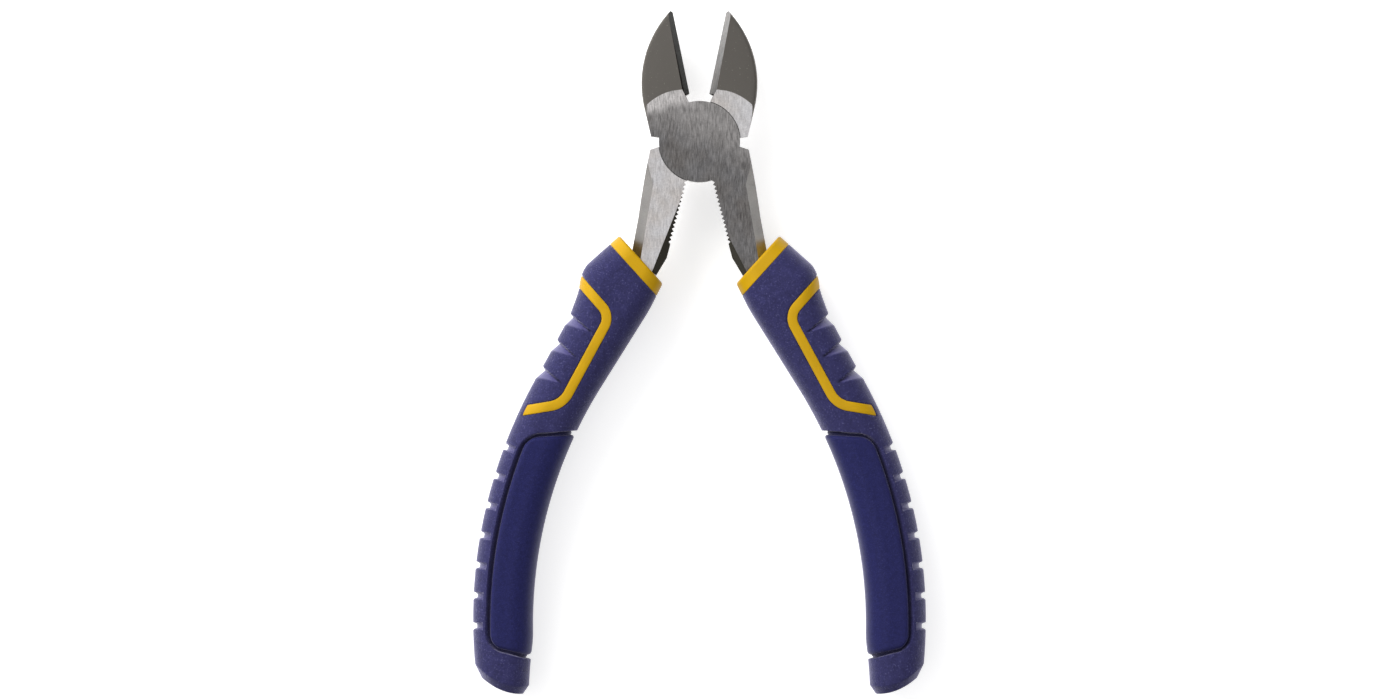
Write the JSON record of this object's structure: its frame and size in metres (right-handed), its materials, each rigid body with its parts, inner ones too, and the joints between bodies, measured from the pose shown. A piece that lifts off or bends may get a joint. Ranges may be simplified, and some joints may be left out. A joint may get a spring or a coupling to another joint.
{
  "type": "diagonal cutting pliers",
  "caption": "Diagonal cutting pliers with lapped forged jaws on a flush rivet and bowed two-tone moulded grips.",
  "frame": {"origin": "centre of the footprint, on the surface that the backs of the grips lie on", "axes": "+Y along the tool towards the jaw tips, +X towards the right handle, +Z out of the front face, along the pivot"},
  "size_m": [0.1022, 0.1533, 0.017],
  "materials": {
    "lever_steel": "ground and brushed along the tool, darker matt jaw faces",
    "rivet_steel": "ground flush with the head",
    "sleeve_plastic": "satin yellow moulding",
    "grip_rubber": "fine grained dark blue elastomer",
    "pad_rubber": "smooth dark blue elastomer"
  },
  "bodies": {
    "front": {"front_lever": "lever_steel", "pivot_rivet": "rivet_steel", "right_inner_sleeve": "sleeve_plastic", "right_grip_shell": "grip_rubber", "right_finger_pad": "pad_rubber"},
    "rear": {"rear_lever": "lever_steel", "left_inner_sleeve": "sleeve_plastic", "left_grip_shell": "grip_rubber", "left_finger_pad": "pad_rubber"}
  },
  "joints": [
    {"name": "pivot", "type": "hinge", "parent": "front", "child": "rear", "pos_m": [0, 0.0473, 0.0085], "axis": [0, 0, 1], "range_deg": [-11, 23.2]}
  ]
}
